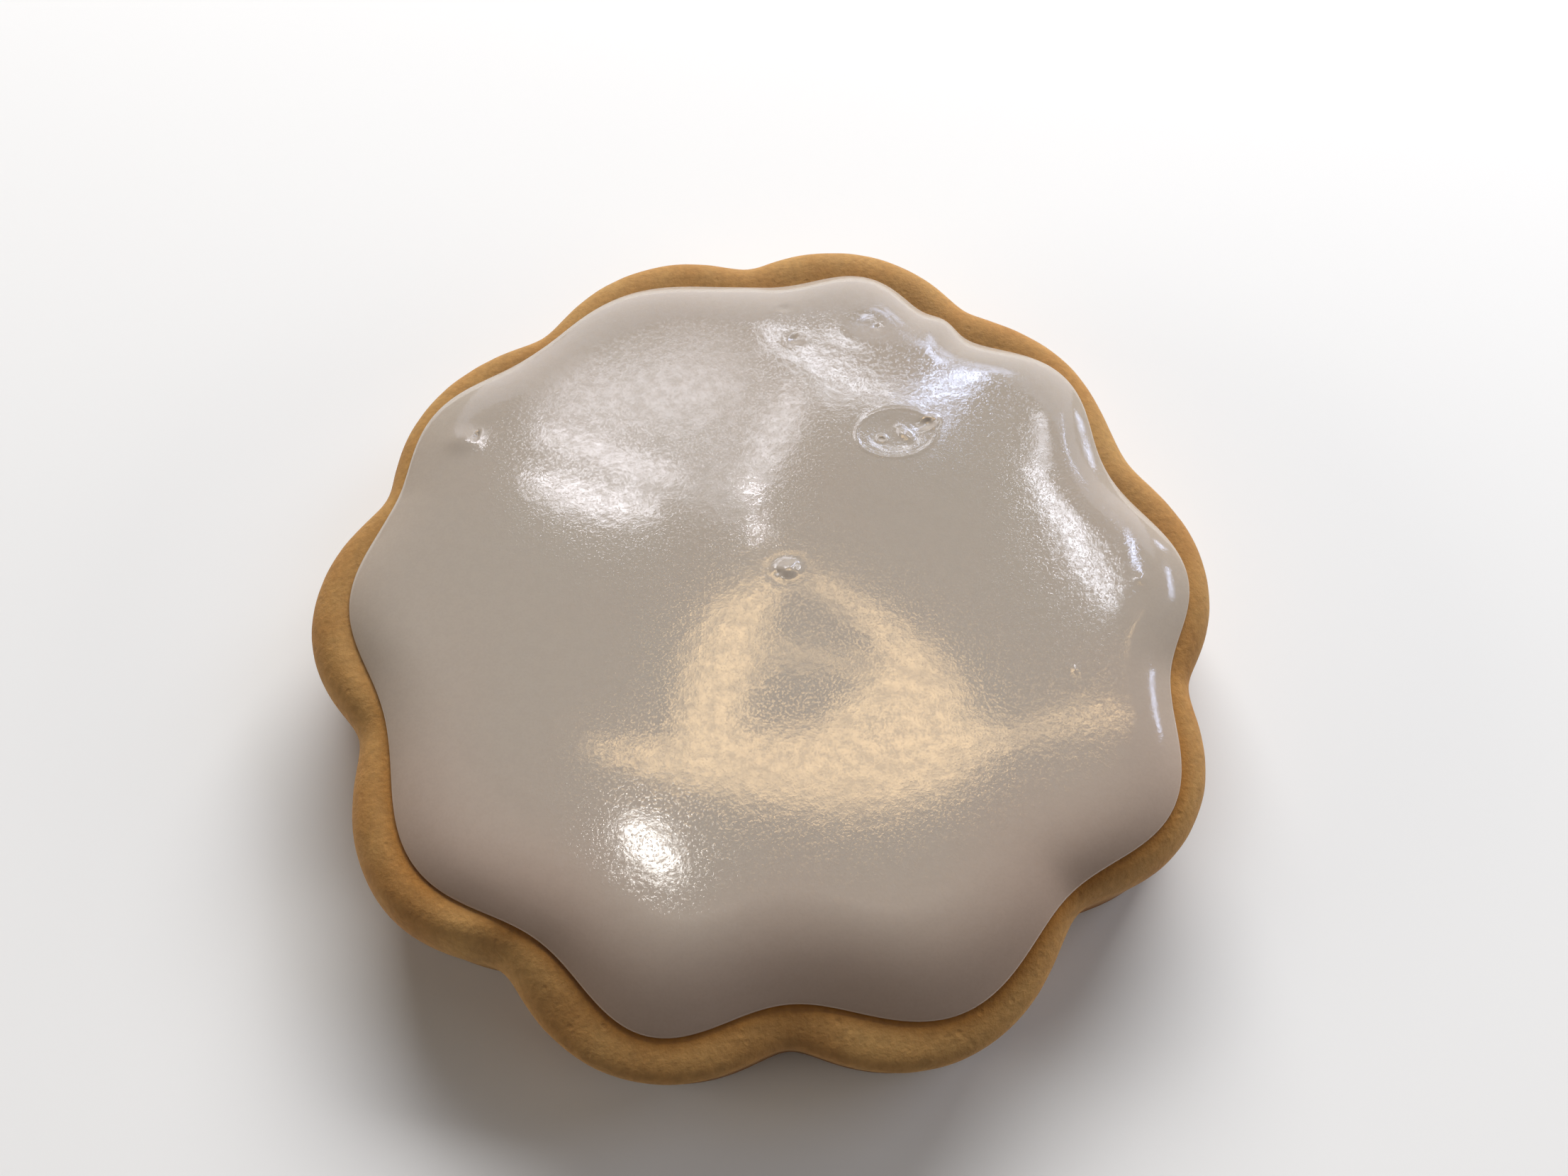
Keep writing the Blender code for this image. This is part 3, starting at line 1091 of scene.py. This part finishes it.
@dataclass(frozen=True)
class Stroke:
    """A bright band of a light card, by where the icing mirrors it.

    Stations are x, y and breadth in millimetres, in the outline's own frame.
    """

    stations: tuple[tuple[float, float, float], ...]
    radiance: float
    softness: float  # share of its half breadth over which its sides fade
    square: bool = False  # square ends, for a band about as broad as it is long

    def glow(self, x: Array, y: Array) -> Array:
        """Radiance of the band.

        Args:
            x: Places along X, in millimetres.
            y: Places along Y.

        Returns:
            The radiance at each place.
        """
        level = np.zeros_like(x)
        for (x0, y0, b0), (x1, y1, b1) in zip(self.stations, self.stations[1:]):
            run = math.hypot(x1 - x0, y1 - y0)
            along = ((x - x0) * (x1 - x0) + (y - y0) * (y1 - y0)) / run**2
            share = np.clip(along, 0, 1)
            near_x, near_y = x0 + share * (x1 - x0), y0 + share * (y1 - y0)
            half = (b0 + (b1 - b0) * share) / 2
            fade = half * self.softness
            away = np.hypot(x - near_x, y - near_y)
            if self.square:
                ends = smooth_step(0.5 + (0.5 - np.abs(along - 0.5)) * run / (2 * fade))
                away = np.abs((x - x0) * (y1 - y0) - (y - y0) * (x1 - x0)) / run
            else:
                ends = 1.0
            level = np.maximum(level, ends * smooth_step((half + fade - away) / (2 * fade)))
        return self.radiance * level


@dataclass(frozen=True)
class LightCard:
    """A card of light that only the glossy icing shows.

    The icing mirrors each place of the card to the camera at the place it is set for.
    """

    name: str
    middle: tuple[float, float]  # mm, of the gleam's field on the icing
    size: tuple[float, float]  # mm
    colour: str
    strokes: tuple[Stroke, ...]
    distance: float = 0.8
    spacing: float = 0.3  # mm between the card's threads, on the icing
    darkest: float = 0.01  # share of the brightest below which the card is cut away

    def material(self, peak: float) -> Material:
        """Builds the card's glow.

        Args:
            peak: The radiance where the card is brightest.

        Returns:
            The material.
        """
        material, tree, shader = fresh_material("lit_" + self.name, {})
        tree.nodes.remove(shader)
        share = node(tree, "Attribute", attribute_name="glow").outputs["Fac"]
        strength = node(tree, "Math", {0: share, 1: peak}, operation="MULTIPLY")
        lit = {"Color": linear(self.colour), "Strength": strength.outputs["Value"]}
        glow = node(tree, "Emission", lit)
        tree.links.new(glow.outputs[0], tree.nodes["Material Output"].inputs["Surface"])
        return material

    def build(self, icing: Icing, eye: Vector) -> None:
        """Hangs the card where the icing mirrors it.

        Args:
            icing: The icing.
            eye: Where the camera stands.
        """
        mesh = bmesh.new()
        across, along = (round(side / self.spacing) for side in self.size)
        bmesh.ops.create_grid(mesh, x_segments=across, y_segments=along, size=0.5)
        field_size = np.array((*self.size, 0.0))
        lay(mesh, lambda points: points * field_size + np.array((*self.middle, 0.0)))
        peak = max(stroke.radiance for stroke in self.strokes)
        glows = self.glow([face.calc_center_median() for face in mesh.faces])
        dark = [face for face, glow in zip(mesh.faces, glows) if glow < self.darkest * peak]
        bmesh.ops.delete(mesh, geom=dark, context="FACES")
        shares = self.glow([vertex.co for vertex in mesh.verts]) / peak
        lay(mesh, lambda points: self.hang(points, icing, eye))
        card = as_piece(self.name, mesh, self.material(peak))
        paint(card, "glow", shares)
        card.visible_camera = card.visible_diffuse = card.visible_shadow = False
        LOG.info("%s: %d faces", card.name, len(card.data.polygons))

    def glow(self, places: list[Vector]) -> Array:
        """Radiance at places of the field: the brightest stroke's at each."""
        at = np.array(places)
        return np.max([stroke.glow(at[:, 0], at[:, 1]) for stroke in self.strokes], axis=0)

    def hang(self, points: Array, icing: Icing, eye: Vector) -> Array:
        """Moves places of the field to where the icing mirrors them from."""
        mirror, way = icing.mirrored(points[:, 0] * MM, points[:, 1] * MM, np.array(eye))
        return mirror + way * self.distance


@dataclass
class Studio:
    """The board, the lamps and the camera."""

    board: StudioBoard = field(default_factory=StudioBoard)
    view: Viewpoint = field(default_factory=Viewpoint)
    board_size: float = 1.2
    room: str = "#FFEFDF"
    ambient: float = 0.06
    softboxes: tuple[Softbox, ...] = (
        Softbox("key", 10, 30, 0.9, 0.9, 0.3, 16.6, "#FAFBFD", LampUse.LIGHT),
        Softbox("key_sheen", 8, 24, 0.9, 1.4, 0.8, 1.1, "#E4EAFF", LampUse.SHEEN),
        Softbox("cool_side", 66, 34, 0.8, 0.35, 0.3, 3.0, "#DCE8FF", LampUse.LIGHT),
        Softbox("left_fill", -94, 11, 0.9, 0.6, 0.3, 6.0, "#FFF6EC", LampUse.LIGHT),
        Softbox("right_fill", 98, 11, 0.9, 0.6, 0.3, 5.0, "#FFFAF4", LampUse.LIGHT),
    )
    cards: tuple[LightCard, ...] = (
        LightCard("warm_card", (7.0, -9.0), (46.0, 26.0), "#FFD8A0", (
            Stroke(((1.2, -0.2, 1.0), (-0.6, -1.9, 3.0), (-2.5, -4.2, 4.6), (-3.2, -7.1, 5.6),
                    (-4.0, -9.9, 4.6), (-4.3, -12.6, 4.8)), 9.6, 0.5),
            Stroke(((2.1, 0.0, 0.7), (4.5, -1.1, 1.3), (6.9, -3.0, 1.9), (9.2, -5.3, 2.3),
                    (10.7, -7.8, 4.2), (11.2, -10.4, 6.0), (11.4, -12.8, 6.8)), 9.6, 0.5),
            Stroke(((-12.8, -13.3, 0.8), (-9.1, -14.0, 2.4), (-5.0, -14.6, 3.8),
                    (-0.9, -14.9, 5.0), (4.1, -15.4, 5.8), (8.2, -15.1, 6.2),
                    (11.9, -14.3, 5.4), (15.0, -13.6, 3.2), (17.3, -13.5, 0.9)), 9.6, 0.5),
            Stroke(((16.6, -13.6, 0.8), (19.7, -12.8, 1.3), (21.9, -12.3, 1.7),
                    (24.3, -12.0, 1.6), (25.8, -12.1, 0.8)), 9.6, 0.9),
            Stroke(((2.5, -13.4, 1.6), (5.8, -11.9, 2.6), (8.6, -9.8, 3.2)), 9.6, 0.6),
            Stroke(((-1.0, -6.3, 2.0), (1.8, -6.6, 1.8), (4.5, -7.2, 1.4),
                    (7.6, -7.8, 1.4)), 5.6, 0.8),
            Stroke(((3.0, -18.0, 0.6), (5.5, -18.7, 0.7), (8.5, -18.1, 0.6)), 4.0, 0.8),
        )),
        LightCard("window_card", (-7.5, 13.5), (32.0, 30.0), "#F9F7FF", (
            Stroke(((-14.5, 17.2, 15.0), (1.5, 10.1, 12.5)), 3.2, 0.25, True),
            Stroke(((-14.0, 16.5, 8.0), (-6.0, 17.5, 10.0)), 6.5, 1.0),
            Stroke(((-18.2, 13.6, 1.3), (-13.8, 11.9, 1.7), (-11.1, 10.4, 1.9),
                    (-7.3, 9.1, 1.5)), 16.0, 1.0),
            Stroke(((-18.6, 9.2, 1.6), (-16.1, 8.1, 2.4), (-12.5, 6.8, 2.6),
                    (-9.3, 6.1, 1.6)), 19.0, 1.0),
            Stroke(((-1.6, 7.6, 0.8), (-0.5, 7.5, 0.9)), 40.0, 0.6),
            Stroke(((-1.0, 4.0, 0.6), (-0.2, 3.9, 0.6)), 66.0, 0.6),
            Stroke(((2.3, 16.3, 2.6), (1.2, 13.2, 3.2), (-0.2, 10.1, 3.0)), 9.0, 1.0),
        )),
        LightCard("pale_card", (15.0, 9.0), (30.0, 32.0), "#F0F3FF", (
            Stroke(((0.5, 23.7, 1.6), (3.6, 21.3, 2.2), (6.6, 18.7, 2.4), (9.2, 17.0, 2.0),
                    (12.1, 15.8, 1.3)), 16.0, 1.0),
            Stroke(((5.0, 16.6, 1.2), (6.5, 16.0, 1.2)), 8.0, 0.9),
            Stroke(((23.0, 13.8, 1.0), (22.7, 10.5, 1.2), (22.8, 9.4, 0.8)), 9.0, 0.9),
            Stroke(((21.7, 9.0, 0.9), (22.5, 6.1, 1.3), (24.1, 2.7, 1.8), (25.1, -0.9, 1.6),
                    (26.1, -3.2, 0.9)), 22.0, 0.9),
        )),
        LightCard("sky_card", (22.0, 9.0), (24.0, 32.0), "#CDDCFF", (
            Stroke(((12.0, 15.4, 1.2), (14.8, 16.8, 2.1), (17.1, 17.8, 1.9),
                    (18.4, 18.3, 1.2)), 27.0, 0.9),
            Stroke(((12.8, 22.5, 0.6), (14.8, 21.4, 0.7), (16.9, 19.7, 0.8)), 8.0, 0.9),
            Stroke(((13.5, 11.8, 0.8), (15.4, 13.8, 0.9)), 14.0, 0.9),
            Stroke(((26.5, 12.6, 0.3), (26.7, 10.8, 0.5), (26.9, 9.1, 0.3)), 10.0, 0.9),
            Stroke(((28.5, 3.4, 0.15), (28.6, 1.0, 0.35), (28.6, -0.9, 0.3)), 26.0, 0.9),
            Stroke(((31.0, -0.3, 0.4), (30.9, -2.5, 0.4)), 12.0, 0.9),
        )),
        LightCard(
            "round_card",
            (-8.4, -20.4),
            (9.0, 9.0),
            "#FFFCF8",
            (Stroke(((-9.6, -19.2, 1.4), (-8.4, -20.2, 2.2), (-7.2, -21.5, 1.6)), 34.0, 0.9),),
        ),
    )

    def build(self, icing: Icing) -> None:
        """Makes the board, lamps and camera.

        Args:
            icing: The icing, which mirrors the cards.
        """
        mesh = bmesh.new()
        bmesh.ops.create_grid(mesh, x_segments=1, y_segments=1, size=self.board_size)
        board = as_piece("board", mesh, self.board.material())
        eye = self.view.eye(icing.biscuit.outline.middle())
        self.view.build(eye)
        for softbox in self.softboxes:
            softbox.build()
        for card in self.cards:
            card.build(icing, eye)
        world = bpy.data.worlds.new("dim_room")
        world.use_nodes = True
        room = world.node_tree.nodes["Background"]
        room.inputs["Color"].default_value = linear(self.room)
        room.inputs["Strength"].default_value = self.ambient
        bpy.context.scene.world = world
        bpy.context.scene.view_settings.view_transform = "Standard"


def main() -> None:
    """Builds the cookie and its studio, and logs each piece's faces."""
    logging.basicConfig(level=logging.INFO, format="%(message)s")
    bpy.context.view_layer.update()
    biscuit = Biscuit()
    icing = Icing(biscuit)
    baked = biscuit.build(icing.outline)
    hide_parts("biscuit")
    poured = icing.build()
    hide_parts("icing")
    for piece in (baked, poured):
        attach(piece, "root")
        LOG.info("%s: %d faces", piece.name, len(piece.data.polygons))
    Studio().build(icing)


if __name__ == "__main__":
    main()
